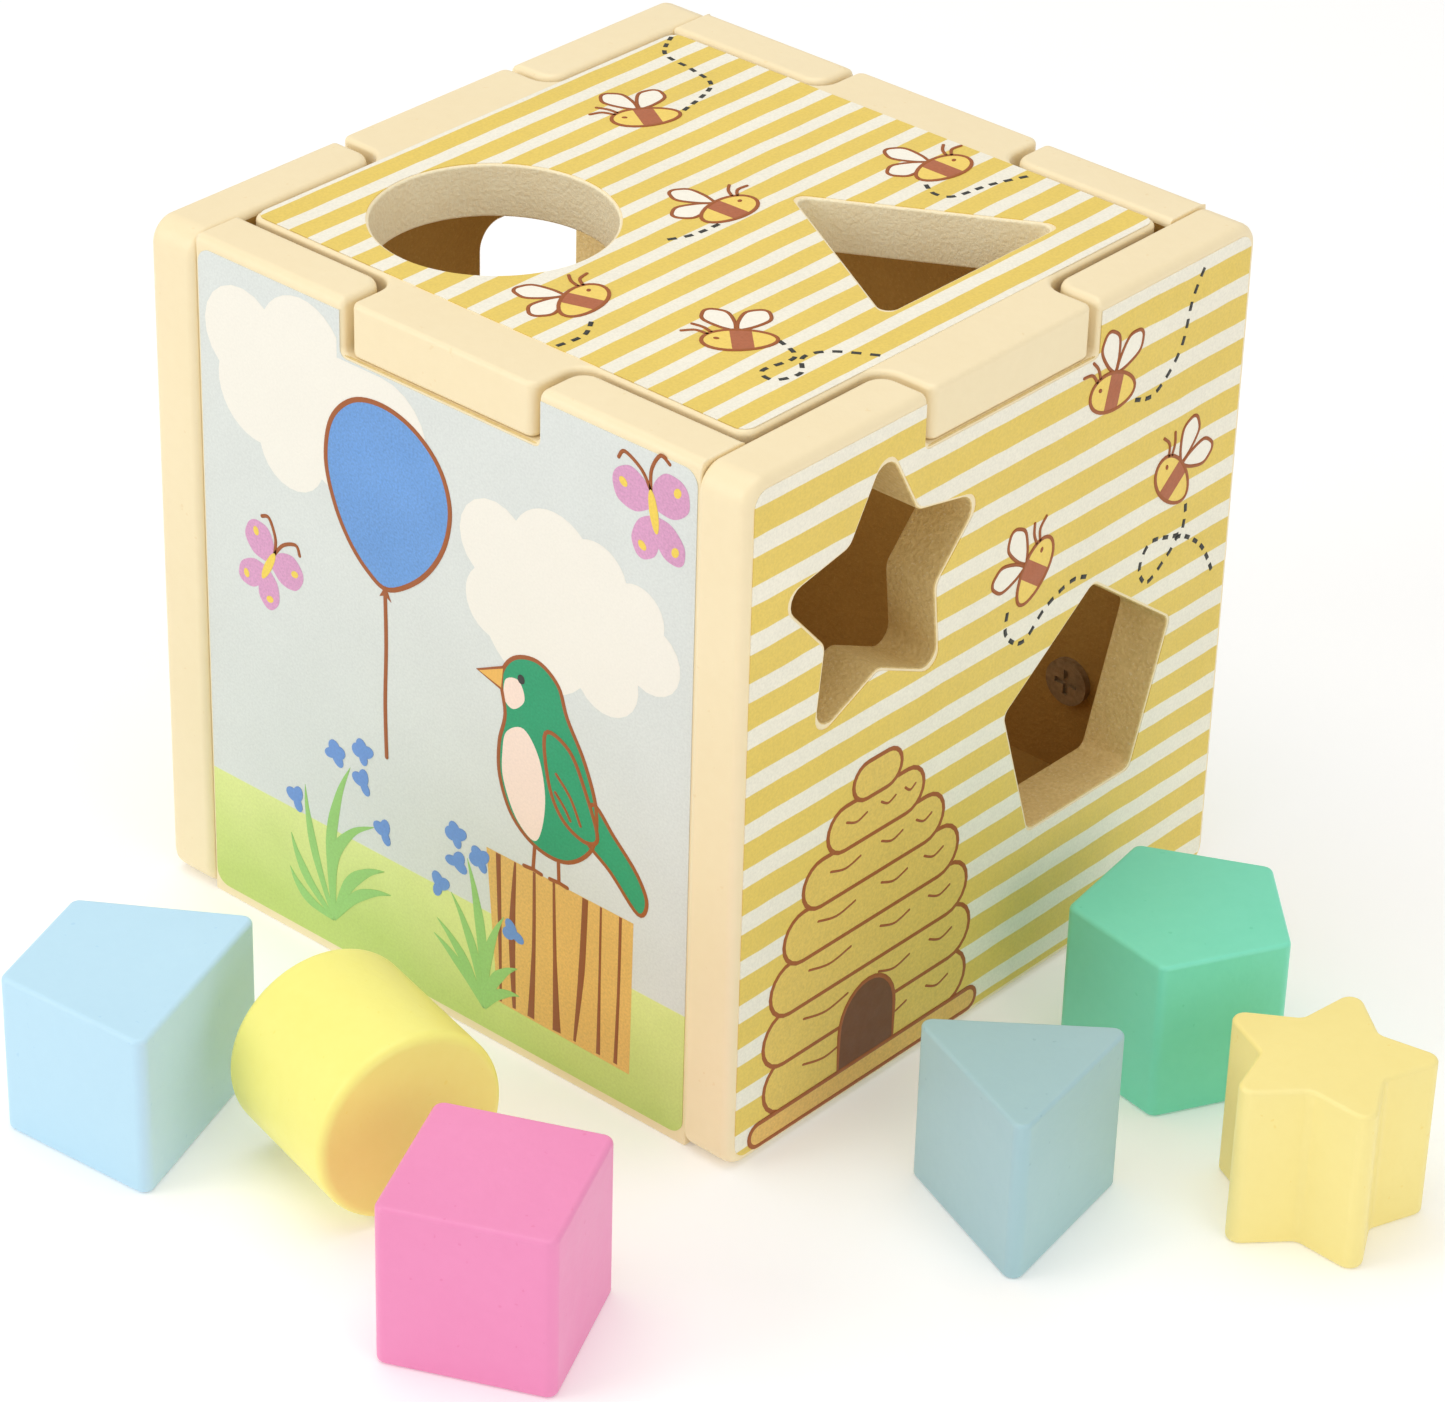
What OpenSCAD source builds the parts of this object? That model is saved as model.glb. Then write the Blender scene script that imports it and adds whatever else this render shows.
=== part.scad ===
// Wooden shape sorting box with a lift-off lid and six loose blocks.
// +Z is up, the front board faces -Y, and the origin is the middle of the box's footprint
// on the surface that the box and its blocks stand on.

/* [Box] */
// Width of the box over its two side boards
box_w = 140; // [114:1:200]
// Depth of the box over the edges of its side boards
box_d = 137.2; // [114:0.1:200]
// Height of the box, lid included
box_h = 136.2; // [113:0.1:200]
// Thickness of the four wall boards
wall_t = 10.8; // [9:0.1:14]
// How far the front and back boards stay behind the side boards' edges
front_set = 1.2; // [0:0.1:3]
// Corner radius of the side boards' outlines
side_r = 5; // [2:0.5:8]
// Thickness of the base board
base_t = 10; // [8:0.5:14]
// Height of the base board's underside above the table
base_lift = 5; // [1:0.5:10]

/* [Lid] */
// Thickness of the lid board, and depth of the notches that take its tabs
lid_t = 10.3; // [6:0.1:14]
// Gap between the lid's edge and the boards around it
lid_gap = 1.2; // [0.5:0.1:3]
// Corner radius of the lid in plan
lid_r = 2.5; // [1:0.5:6]
// Width of the notch in the top of each wall board
notch_w = 46; // [30:1:60]
// Gap between a tab and each side of its notch
tab_gap = 1.5; // [0.5:0.1:3]
// How far a tab's end stays behind the board's outer face
tab_set = 0.3; // [0:0.1:2]

/* [Blocks] */
// Thickness of every block
block_h = 32; // [26:0.5:40]
// Diameter of the cylinder
cylinder_d = 36.2; // [30:0.1:40]
// Side of the square block
cube_s = 31.5; // [26:0.1:36]
// Distance from the triangle's middle to a sharp corner
triangle_r = 21.7; // [18:0.1:25]
// Distance from the pentagon's middle to a sharp corner
pentagon_r = 21.2; // [17:0.1:25]
// Distance from the star's middle to a sharp tip
star_tip_r = 21.3; // [17:0.1:25]
// Distance from the star's middle to a valley
star_valley_r = 11.5; // [9:0.1:14]
// Long parallel side of the trapezoid
trapezoid_long = 43.6; // [36:0.1:48]
// Short parallel side of the trapezoid
trapezoid_short = 27; // [22:0.1:32]
// Distance between the trapezoid's parallel sides
trapezoid_d = 32; // [26:0.1:36]
// Radius on the blocks' upright edges and the cylinder's rims
block_r = 2; // [1:0.1:3]
// Radius on the star block's points and valleys
star_block_r = 2.4; // [1:0.1:3]

/* [Holes] */
// Gap all round between a block and its hole
hole_gap = 3; // [1:0.1:4]
// Gap round the cylinder, where a finger goes in to lift the lid
finger_gap = 3.9; // [1:0.1:5]
// Radius in the holes' corners
hole_r = 2; // [1:0.1:3]
// Radius in the star hole's points and valleys
star_hole_r = 3; // [1:0.1:4]
// Radius in the square hole's corners
square_hole_r = 5; // [2:0.1:8]
// Board left between the round hole and the lid's left and front edges
round_web = [9.6, 6.9]; // [4:0.1:20]
// Board left between the triangular hole and the lid's right and back edges
triangle_web = [11.5, 15.6]; // [4:0.1:25]
// Middle of the star, in from the front edge and down from the top
star_inset = [35.4, 33.8]; // [30:0.1:50]
// Middle of the pentagon, in from the back edge and up from the bottom
pentagon_inset = [41.9, 54.1]; // [30:0.1:60]
// Middle of the square hole, in from the back edge and down from the top
square_inset = [45.8, 42.4]; // [30:0.1:60]
// Middle of the trapezoid hole, in from the front edge and up from the bottom
trapezoid_inset = [40.6, 50]; // [30:0.1:60]

/* [Prints] */
// Thickness of the printed films
film_t = 0.15; // [0.05:0.05:0.4]
// Border of bare board that shows at a board's rounded outer edges
film_edge = 2; // [0.5:0.1:4]
// Corner radius of the films on the wall boards
film_r = 3; // [1:0.5:6]
// Border at notches, holes, glued seams and the lid's edge
film_trim = 0.6; // [0.2:0.1:2]

/* [Fasteners] */
// Diameter of the dowels glued into the corner joints and the base
dowel_d = 5; // [4:0.5:6]
// Depth of a dowel in the face of a board
dowel_face = 6; // [4:0.5:7]
// Depth of a dowel in the edge of the board that meets it
dowel_edge = 16; // [10:0.5:20]
// Distance of the corner dowels from the box's top and bottom
dowel_inset = 22; // [18:1:30]
// Distance of the base dowels from the middle of the base's edges
base_dowel_out = 32; // [20:1:40]
// Head diameter of the screw in the back board
screw_head_d = 9.5; // [7:0.1:12]
// Height of the screw's head
screw_head_h = 1.5; // [1:0.1:3]
// Diameter and depth of the screw's shank
screw_shank = [4, 8]; // [3:0.1:9]
// Middle of the screw, in from the right board's inner face and up from the table
screw_inset = [14.7, 35.2]; // [8:0.1:60]

/* [Layout] */
// Cylinder's middle along X and out from the box's front, and the turn of its axis
cylinder_place = [23.1, 41.3, -14.3]; // [-180:0.1:180]
// Square block's middle along X and out from the box's front, and its turn
cube_place = [69.8, 57.6, 24.9]; // [-180:0.1:180]
// Trapezoid's middle along X and out from the box's front, and its turn
trapezoid_place = [-19.8, 58.3, 109.6]; // [-180:0.1:180]
// Triangle's middle out from the right board and along Y, and its turn
triangle_place = [42.5, -42, 8.7]; // [-180:0.1:180]
// Pentagon's middle out from the right board and along Y, and its turn
pentagon_place = [34.1, 14.6, 8.4]; // [-180:0.1:180]
// Star's middle out from the right board and along Y, and its turn
star_place = [79.3, -5.2, 4]; // [-180:0.1:180]

/* [Hidden] */
$fn = 48;
arc_steps = 6; // straight steps round each corner of a star, pentagon, triangle or trapezoid
cream = [0.95, 0.89, 0.74];
board_brown = [0.48, 0.31, 0.15];
gold = [0.91, 0.80, 0.45];
sky = [0.84, 0.88, 0.88];
dowel_wood = [0.85, 0.72, 0.52];
steel = [0.36, 0.31, 0.28];
front_w = box_w - 2 * wall_t;      // length of the front and back boards
front_y = box_d / 2 - front_set;     // distance of the front and back boards' faces from the middle
inner_d = 2 * (front_y - wall_t);  // inside depth of the box
lid_w = front_w - 2 * lid_gap;
lid_d = inner_d - 2 * lid_gap;
tab_w = notch_w - 2 * tab_gap;
dowel_l = dowel_face + dowel_edge;
round_hole_d = cylinder_d + 2 * finger_gap;
triangle_hole_r = triangle_r + 2 * hole_gap;
pentagon_hole_r = pentagon_r + hole_gap / cos(36);
square_hole = cube_s + 2 * hole_gap;
star_edge = norm([star_tip_r - star_valley_r * cos(36), star_valley_r * sin(36)]);
star_grow = 1 + hole_gap * star_edge / (star_tip_r * star_valley_r * sin(36));
round_at = [-lid_w / 2 + round_web[0] + round_hole_d / 2, -lid_d / 2 + round_web[1] + round_hole_d / 2];
triangle_at = [lid_w / 2 - triangle_web[0] - triangle_hole_r / 2,
    lid_d / 2 - triangle_web[1] - hole_r - (triangle_hole_r - 2 * hole_r) * sin(60)];
star_at = [-box_d / 2 + star_inset[0], box_h - star_inset[1]];
pentagon_at = [box_d / 2 - pentagon_inset[0], pentagon_inset[1]];
square_at = [box_d / 2 - square_inset[0], box_h - square_inset[1]];
trapezoid_at = [-box_d / 2 + trapezoid_inset[0], trapezoid_inset[1]];
screw_at = [front_w / 2 - screw_inset[0], inner_d / 2, screw_inset[1]];
corner_dowel_z = [dowel_inset, box_h - dowel_inset];

// Outlines

function unit(v) = v / norm(v);
function point(pts, i) = pts[(i + len(pts)) % len(pts)];
function half_angle(pts, i) =
    acos(unit(point(pts, i - 1) - pts[i]) * unit(point(pts, i + 1) - pts[i])) / 2;
function bisector(pts, i) =
    unit(unit(point(pts, i - 1) - pts[i]) + unit(point(pts, i + 1) - pts[i]));
function turns_left(pts, i) =
    cross(pts[i] - point(pts, i - 1), point(pts, i + 1) - pts[i]) > 0;
function regular(sides, r) = [for (i = [0:sides - 1]) r * [cos(360 * i / sides), sin(360 * i / sides)]];
function star_points(tip, valley) =
    [for (i = [0:9]) (i % 2 == 0 ? tip : valley) * [cos(36 * i), sin(36 * i)]];
// A trapezoid with its long side at -Y; grow moves every side outwards by that much
function trapezoid_points(grow = 0) = let (
        slope = (trapezoid_long - trapezoid_short) / 2 / trapezoid_d,
        lean = sqrt(1 + slope * slope),
        low = trapezoid_long / 2 + grow * (lean + slope),
        high = trapezoid_short / 2 + grow * (lean - slope),
        half = trapezoid_d / 2 + grow
    ) [[-low, -half], [low, -half], [high, half], [-high, half]];

// Points round corner i of an anticlockwise polygon, from one tangent point to the other
function corner_arc(pts, i, r) = let (
        half = half_angle(pts, i),
        middle = pts[i] + bisector(pts, i) * r / sin(half),
        from = pts[i] + unit(point(pts, i - 1) - pts[i]) * r / tan(half) - middle,
        start = atan2(from[1], from[0]),
        sweep = (turns_left(pts, i) ? 1 : -1) * (180 - 2 * half)
    ) [for (k = [0:arc_steps]) middle + r * [cos(start + sweep * k / arc_steps),
        sin(start + sweep * k / arc_steps)]];

// An anticlockwise polygon with every corner and every valley rounded to r
module soft_polygon(pts, r) polygon([for (i = [0:len(pts) - 1]) each corner_arc(pts, i, r)]);

module soft_rect(w, h, r) {
    square([w - 2 * r, h], center = true);
    square([w, h - 2 * r], center = true);
    for (x = [-1, 1], y = [-1, 1])
        translate([x * (w / 2 - r), y * (h / 2 - r)]) circle(r = r);
}

// A wall board's outline, standing on y = 0, with the notch for the lid's tab
module wall_outline(w, r) {
    difference() {
        translate([0, box_h / 2]) {
            if (r > 0) soft_rect(w, box_h, r);
            else square([w, box_h], center = true);
        }
        lid_notch(0);
    }
}

module lid_notch(edge) translate([0, box_h]) soft_rect(notch_w + 2 * edge, 2 * (lid_t + edge), tab_gap);

// The film on a wall board, with its border along the uprights given apart
module film_outline(w, side_border) {
    difference() {
        translate([0, box_h / 2]) soft_rect(w - 2 * side_border, box_h - 2 * film_edge, film_r);
        lid_notch(film_trim);
    }
}

// The lid without its tabs; edge pulls it in
module lid_outline(edge = 0) soft_rect(lid_w - 2 * edge, lid_d - 2 * edge, lid_r);

// The two holes in the lid; edge makes them larger
module lid_holes(edge = 0) {
    translate(round_at) circle(d = round_hole_d + 2 * edge);
    translate(triangle_at) rotate(180) soft_polygon(regular(3, triangle_hole_r + 2 * edge), hole_r);
}

module right_holes(edge = 0) {
    grow = star_grow * (1 + edge / (hole_gap + star_tip_r * star_valley_r * sin(36) / star_edge));
    translate(star_at) rotate(90) soft_polygon(star_points(star_tip_r, star_valley_r) * grow, star_hole_r);
    translate(pentagon_at) rotate(90)
        soft_polygon(regular(5, pentagon_hole_r + edge / cos(36)), hole_r);
}

module left_holes(edge = 0) {
    translate(square_at) soft_rect(square_hole + 2 * edge, square_hole + 2 * edge, square_hole_r);
    translate(trapezoid_at) soft_polygon(trapezoid_points(hole_gap + edge), hole_r);
}

// Stands an outline up: its x runs along the row's Y for a side board, along X otherwise
module side_plate(t) rotate([90, 0, 90]) linear_extrude(t) children();
module front_plate(t) rotate([90, 0, 0]) linear_extrude(t) children();

// Dowels and screw, used both as solids and as the holes that they fill

module corner_dowel_pair(x_side, y_side) {
    for (z = corner_dowel_z)
        translate([x_side * (front_w / 2 + dowel_face), y_side * (front_y - wall_t / 2), z])
            rotate([0, -90 * x_side, 0]) cylinder(d = dowel_d, h = dowel_l);
}

module base_dowel_set() {
    for (side = [-1, 1], along = [-1, 1]) {
        translate([side * (front_w / 2 + dowel_face), along * base_dowel_out, base_lift + base_t / 2])
            rotate([0, -90 * side, 0]) cylinder(d = dowel_d, h = dowel_l);
        translate([along * base_dowel_out, side * (inner_d / 2 + dowel_face), base_lift + base_t / 2])
            rotate([90 * side, 0, 0]) cylinder(d = dowel_d, h = dowel_l);
    }
}

module all_dowels() {
    for (x = [-1, 1], y = [-1, 1]) corner_dowel_pair(x, y);
    base_dowel_set();
}

module screw_shaft() {
    translate(screw_at) rotate([-90, 0, 0]) cylinder(d = screw_shank[0], h = screw_shank[1]);
}

// Boards

module wall_front() color(cream) difference() {
    translate([0, -inner_d / 2, 0]) front_plate(wall_t) wall_outline(front_w, 0);
    all_dowels();
}

module wall_back() color(cream) difference() {
    translate([0, front_y, 0]) front_plate(wall_t) wall_outline(front_w, 0);
    all_dowels();
    screw_shaft();
}

module wall_left() color(cream) difference() {
    translate([-box_w / 2, 0, 0]) side_plate(wall_t) difference() {
        wall_outline(box_d, side_r);
        left_holes();
    }
    all_dowels();
}

module wall_right() color(cream) difference() {
    translate([front_w / 2, 0, 0]) side_plate(wall_t) difference() {
        wall_outline(box_d, side_r);
        right_holes();
    }
    all_dowels();
}

module base_panel() color(board_brown) difference() {
    translate([-front_w / 2, -inner_d / 2, base_lift]) cube([front_w, inner_d, base_t]);
    all_dowels();
}

module lid_panel() color(cream) translate([0, 0, box_h - lid_t]) linear_extrude(lid_t) difference() {
    union() {
        lid_outline();
        square([box_w - 2 * tab_set, tab_w], center = true);
        square([tab_w, 2 * (front_y - tab_set)], center = true);
    }
    lid_holes();
}

// Printed films

module print_front() color(sky)
    translate([0, -front_y, 0]) front_plate(film_t) film_outline(front_w, film_trim);

module print_back() color(sky)
    translate([0, front_y + film_t, 0]) front_plate(film_t) film_outline(front_w, film_trim);

module print_left() color(gold) translate([-box_w / 2 - film_t, 0, 0]) side_plate(film_t) difference() {
    film_outline(box_d, film_edge);
    left_holes(film_trim);
}

module print_right() color(gold) translate([box_w / 2, 0, 0]) side_plate(film_t) difference() {
    film_outline(box_d, film_edge);
    right_holes(film_trim);
}

module print_lid() color(gold) translate([0, 0, box_h]) linear_extrude(film_t) difference() {
    lid_outline(film_trim);
    lid_holes(film_trim);
}

// Fasteners

module dowels_front_left() color(dowel_wood) corner_dowel_pair(-1, -1);
module dowels_front_right() color(dowel_wood) corner_dowel_pair(1, -1);
module dowels_back_left() color(dowel_wood) corner_dowel_pair(-1, 1);
module dowels_back_right() color(dowel_wood) corner_dowel_pair(1, 1);
module dowels_base() color(dowel_wood) base_dowel_set();

module back_wall_screw() color(steel) {
    slot = [screw_head_d * 0.55, screw_head_d * 0.12];
    screw_shaft();
    translate(screw_at) rotate([90, 0, 0]) difference() {
        cylinder(d = screw_head_d, h = screw_head_h);
        for (turn = [0, 90]) rotate(turn)
            translate([-slot[0] / 2, -slot[1] / 2, screw_head_h / 2]) cube([slot[0], slot[1], screw_head_h]);
    }
}

// Blocks

module prism(pts, r = block_r) linear_extrude(block_h) soft_polygon(pts, r);

module in_front(place) translate([place[0], -box_d / 2 - place[1], 0]) rotate(place[2]) children();
module at_right(place) translate([box_w / 2 + place[0], place[1], 0]) rotate(place[2]) children();

module block_cylinder() color([0.98, 0.96, 0.52]) in_front(cylinder_place)
    translate([0, 0, cylinder_d / 2]) rotate([0, 90, 0]) translate([0, 0, -block_h / 2])
        rotate_extrude() intersection() {
            translate([0, block_h / 2]) soft_rect(cylinder_d, block_h, block_r);
            square([cylinder_d, block_h]);
        }

module block_cube() color([0.96, 0.58, 0.76]) in_front(cube_place)
    linear_extrude(block_h) soft_rect(cube_s, cube_s, block_r);

module block_trapezoid() color([0.75, 0.89, 0.96]) in_front(trapezoid_place) prism(trapezoid_points());

module block_triangle() color([0.66, 0.79, 0.80]) at_right(triangle_place)
    rotate(180) prism(regular(3, triangle_r));

module block_pentagon() color([0.43, 0.82, 0.67]) at_right(pentagon_place) prism(regular(5, pentagon_r));

module block_star() color([0.99, 0.91, 0.61]) at_right(star_place)
    rotate(180) prism(star_points(star_tip_r, star_valley_r), star_block_r);

wall_front();
wall_back();
wall_left();
wall_right();
base_panel();
lid_panel();
print_front();
print_back();
print_left();
print_right();
print_lid();
dowels_front_left();
dowels_front_right();
dowels_back_left();
dowels_back_right();
dowels_base();
back_wall_screw();
block_cylinder();
block_triangle();
block_star();
block_pentagon();
block_cube();
block_trapezoid();
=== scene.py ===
import math
import bmesh
import bpy
from mathutils import Matrix, Vector


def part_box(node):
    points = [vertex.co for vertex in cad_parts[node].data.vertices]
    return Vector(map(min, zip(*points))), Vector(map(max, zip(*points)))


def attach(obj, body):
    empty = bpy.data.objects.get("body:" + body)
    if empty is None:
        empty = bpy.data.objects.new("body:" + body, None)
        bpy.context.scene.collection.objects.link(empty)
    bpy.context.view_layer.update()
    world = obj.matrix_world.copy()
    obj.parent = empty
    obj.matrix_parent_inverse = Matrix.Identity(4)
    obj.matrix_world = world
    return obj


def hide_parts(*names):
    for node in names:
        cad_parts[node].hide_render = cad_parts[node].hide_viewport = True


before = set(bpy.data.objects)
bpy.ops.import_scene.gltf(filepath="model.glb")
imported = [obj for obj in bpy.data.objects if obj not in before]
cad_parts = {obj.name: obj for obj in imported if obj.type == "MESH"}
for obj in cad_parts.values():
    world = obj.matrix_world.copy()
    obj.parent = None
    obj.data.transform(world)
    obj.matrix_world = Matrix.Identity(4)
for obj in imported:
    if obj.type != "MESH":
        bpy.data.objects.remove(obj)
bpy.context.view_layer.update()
mm = 0.001
tiny = 1e-5                              # how far apart two places may be and still be the same
sharpAngle = math.radians(30)


# Sizes of the box, read from the frame where it has them

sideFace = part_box("wall_right")[1].x     # outer face of the side boards
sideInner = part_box("wall_right")[0].x
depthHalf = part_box("wall_right")[1].y
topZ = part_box("wall_right")[1].z
frontFace = -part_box("wall_front")[0].y   # outer face of the front and back boards
frontInner = -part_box("wall_front")[1].y
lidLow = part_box("lid_panel")[0]
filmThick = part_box("print_right")[1].x - sideFace
notchHalf = 23.0 * mm                    # half the width of a notch
cornerR = 5.0 * mm                       # corner radius of the side boards


# Camera, floor and lights

cameraSet = {
    "at": (0.53164, -0.60756, 0.52910),
    "turn": 40.82,        # degrees round the box from straight in front
    "down": 31.379,
    "roll": 1.639,
    "lens": 126.5,
}

lightSet = {
    "world": 0.55,
    "worldColour": (1.0, 0.99, 0.975),
    # watts, radius, colour and place of a weak lamp in the box, where little studio light gets in
    "inside": (0.028, 0.03, (1.0, 0.9, 0.75), (0, 0, 75 * mm)),
    # name: (place, aimed at, size, watts, colour)
    "lamps": {
        "topSoftbox": ((-0.15, -0.05, 1.35), (0.0, 0.0, 0.05), 1.3, 6.8, (1.0, 0.985, 0.96)),
        "leftSoftbox": ((-0.75, -1.25, 0.75), (0.0, -0.02, 0.07), 1.0, 6.4, (1.0, 0.99, 0.975)),
        "rightSoftbox": ((1.35, -0.25, 0.55), (0.04, 0.0, 0.07), 0.9, 3.1, (1.0, 0.98, 0.95)),
    },
}

floorSet = {"size": 9.0, "colour": (250, 250, 250), "tint": (251, 251, 251), "rough": 0.9, "glow": 0.14}


def addToScene(thing):
    bpy.context.scene.collection.objects.link(thing)


def makeCamera(s):
    turn, down, roll = (math.radians(s[k]) for k in ("turn", "down", "roll"))
    back = Vector((math.sin(turn) * math.cos(down), -math.cos(turn) * math.cos(down), math.sin(down)))
    right = Vector((math.cos(turn), math.sin(turn), 0))
    up = back.cross(right)
    side = right * math.cos(roll) + up * math.sin(roll)
    top = up * math.cos(roll) - right * math.sin(roll)
    data = bpy.data.cameras.new("camera")
    data.lens = s["lens"]
    data.sensor_width = 36
    data.clip_start = 0.01
    camera = bpy.data.objects.new("camera", data)
    camera.matrix_world = Matrix.Translation(s["at"]) @ Matrix((side, top, back)).transposed().to_4x4()
    addToScene(camera)
    bpy.context.scene.camera = camera


def makeLights(s):
    for name, (place, aim, size, watts, colour) in s["lamps"].items():
        data = bpy.data.lights.new(name, "AREA")
        data.shape = "DISK"
        data.size = size
        data.energy = watts
        data.color = colour
        lamp = bpy.data.objects.new(name, data)
        lamp.location = place
        lamp.rotation_euler = (Vector(aim) - Vector(place)).to_track_quat("-Z", "Y").to_euler()
        addToScene(lamp)
    data = bpy.data.lights.new("insideGlow", "POINT")
    glow = bpy.data.objects.new("insideGlow", data)
    data.energy, data.shadow_soft_size, data.color, glow.location = s["inside"]
    addToScene(glow)
    world = bpy.data.worlds.new("paleStudio")
    world.use_nodes = True
    sky = world.node_tree.nodes["Background"]
    sky.inputs["Color"].default_value = (*s["worldColour"], 1)
    sky.inputs["Strength"].default_value = s["world"]
    bpy.context.scene.world = world
    bpy.context.scene.view_settings.view_transform = "Standard"


def makeFloor(s):
    sheet = bmesh.new()
    bmesh.ops.create_grid(sheet, x_segments=1, y_segments=1, size=s["size"] / 2)
    finishPiece(sheet, "studioFloor", [floorMaterial(s)])


# Node helpers

def rgb(r, g, b):
    parts = [c / 255 for c in (r, g, b)]
    return (*(((c + 0.055) / 1.055) ** 2.4 if c > 0.04045 else c / 12.92 for c in parts), 1.0)


def newMaterial(name):
    material = bpy.data.materials.new(name)
    material.use_nodes = True
    return material, material.node_tree, material.node_tree.nodes["Principled BSDF"]


def plug(tree, inputs, values):
    for key, value in values.items():
        if isinstance(value, bpy.types.NodeSocket):
            tree.links.new(value, inputs[key])
        else:
            inputs[key].default_value = value


def addNode(tree, kind, values=None, **settings):
    node = tree.nodes.new("ShaderNode" + kind)
    for key, value in settings.items():
        setattr(node, key, value)
    plug(tree, node.inputs, values or {})
    return node


def useGroup(tree, group, values):
    node = tree.nodes.new("ShaderNodeGroup")
    node.node_tree = group
    plug(tree, node.inputs, values)
    return node.outputs


def maths(tree, operation, a, b=0.0):
    return addNode(tree, "Math", {0: a, 1: b}, operation=operation).outputs[0]


def times(tree, a, b):
    return maths(tree, "MULTIPLY", a, b)


def plus(tree, a, b):
    return maths(tree, "ADD", a, b)


def mixColour(tree, share, a, b, blend="MIX"):
    return addNode(tree, "Mix", {0: share, 6: a, 7: b}, data_type="RGBA", blend_type=blend).outputs[2]


def noise(tree, place, scale, detail=3.0):
    return addNode(tree, "TexNoise", {"Vector": place, "Scale": scale, "Detail": detail}).outputs["Fac"]


def spread(tree, value, low, high, fromLow=0.3, fromHigh=0.7):
    return addNode(tree, "MapRange", {"Value": value, "From Min": fromLow, "From Max": fromHigh,
                                      "To Min": low, "To Max": high}).outputs[0]


def patches(tree, place, scale, detail=3.0, low=0.0, high=1.0, fromLow=0.3, fromHigh=0.7):
    return spread(tree, noise(tree, place, scale, detail), low, high, fromLow, fromHigh)


def newGroup(name, inputs, outputs):
    group = bpy.data.node_groups.new(name, "ShaderNodeTree")
    for label, kind, value in inputs:
        socket = group.interface.new_socket(label, in_out="INPUT", socket_type="NodeSocket" + kind)
        socket.default_value = value
    for label, kind in outputs:
        group.interface.new_socket(label, in_out="OUTPUT", socket_type="NodeSocket" + kind)
    start = group.nodes.new("NodeGroupInput").outputs
    end = group.nodes.new("NodeGroupOutput").inputs
    place = addNode(group, "TexCoord").outputs["Object"]
    return group, start, end, place


# Shared effects, each a node group with its own inputs

def makeSprayedPaint():  # broad mottling, orange peel and a few specks under the coat
    group, start, end, place = newGroup("sprayedPaint", [
        ("Paint", "Color", (1, 1, 1, 1)), ("Shade", "Color", (0.8, 0.8, 0.8, 1)),
        ("Mottle", "Float", 0.3), ("Peel Scale", "Float", 900.0), ("Rough", "Float", 0.42)],
        [("Colour", "Color"), ("Roughness", "Float"), ("Height", "Float")])
    broad = patches(group, place, 26.0, 4.0)
    fine = patches(group, place, 420.0, 2.0)
    blotch = plus(group, times(group, broad, 0.7), times(group, fine, 0.3))
    colour = mixColour(group, times(group, blotch, start["Mottle"]), start["Paint"], start["Shade"])
    speck = patches(group, place, 620.0, 1.0, 0.0, 1.0, 0.75, 0.79)
    colour = mixColour(group, times(group, speck, 0.22), colour, start["Shade"], "MULTIPLY")
    peel = noise(group, place, start["Peel Scale"], 2.0)
    height = plus(group, peel, times(group, fine, 0.35))
    rough = plus(group, start["Rough"], patches(group, place, 70.0, 3.0, -0.05, 0.06))
    plug(group, end, {"Colour": colour, "Roughness": rough, "Height": height})
    return group


def makeEdgeHighlight():  # painted highlight: thin, uneven lighter paint along rounded edges, where light catches them
    group, start, end, place = newGroup("edgeHighlight", [
        ("Radius", "Float", 0.0012), ("Amount", "Float", 0.5)], [("Mask", "Float")])
    soft = addNode(group, "Bevel", {"Radius": start["Radius"]}, samples=3).outputs["Normal"]
    true = addNode(group, "NewGeometry").outputs["True Normal"]
    dot = addNode(group, "VectorMath", {0: soft, 1: true}, operation="DOT_PRODUCT").outputs["Value"]
    edge = spread(group, maths(group, "SUBTRACT", 1.0, dot), 0.0, 1.0, 0.01, 0.2)
    uneven = patches(group, place, 240.0, 4.0, 0.15, 1.0)
    plug(group, end, {"Mask": times(group, times(group, edge, uneven), start["Amount"])})
    return group


def makeBoardGrain():  # cut fibreboard: pale and dark fibres, pitted
    group, start, end, place = newGroup("boardGrain", [
        ("Base", "Color", (0.5, 0.3, 0.1, 1)), ("Dark", "Color", (0.3, 0.2, 0.1, 1)),
        ("Fleck", "Color", (0.8, 0.7, 0.5, 1)), ("Contrast", "Float", 0.5)],
        [("Colour", "Color"), ("Height", "Float")])
    fibre = patches(group, place, 1300.0, 5.0)
    cloud = patches(group, place, 120.0, 3.0)
    colour = mixColour(group, times(group, fibre, start["Contrast"]), start["Base"], start["Dark"])
    colour = mixColour(group, times(group, cloud, 0.25), colour, start["Dark"])
    fleck = patches(group, place, 2100.0, 2.0, 0.0, 1.0, 0.6, 0.72)
    colour = mixColour(group, times(group, fleck, start["Contrast"]), colour, start["Fleck"])
    plug(group, end, {"Colour": colour, "Height": plus(group, fibre, times(group, fleck, 0.4))})
    return group


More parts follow.
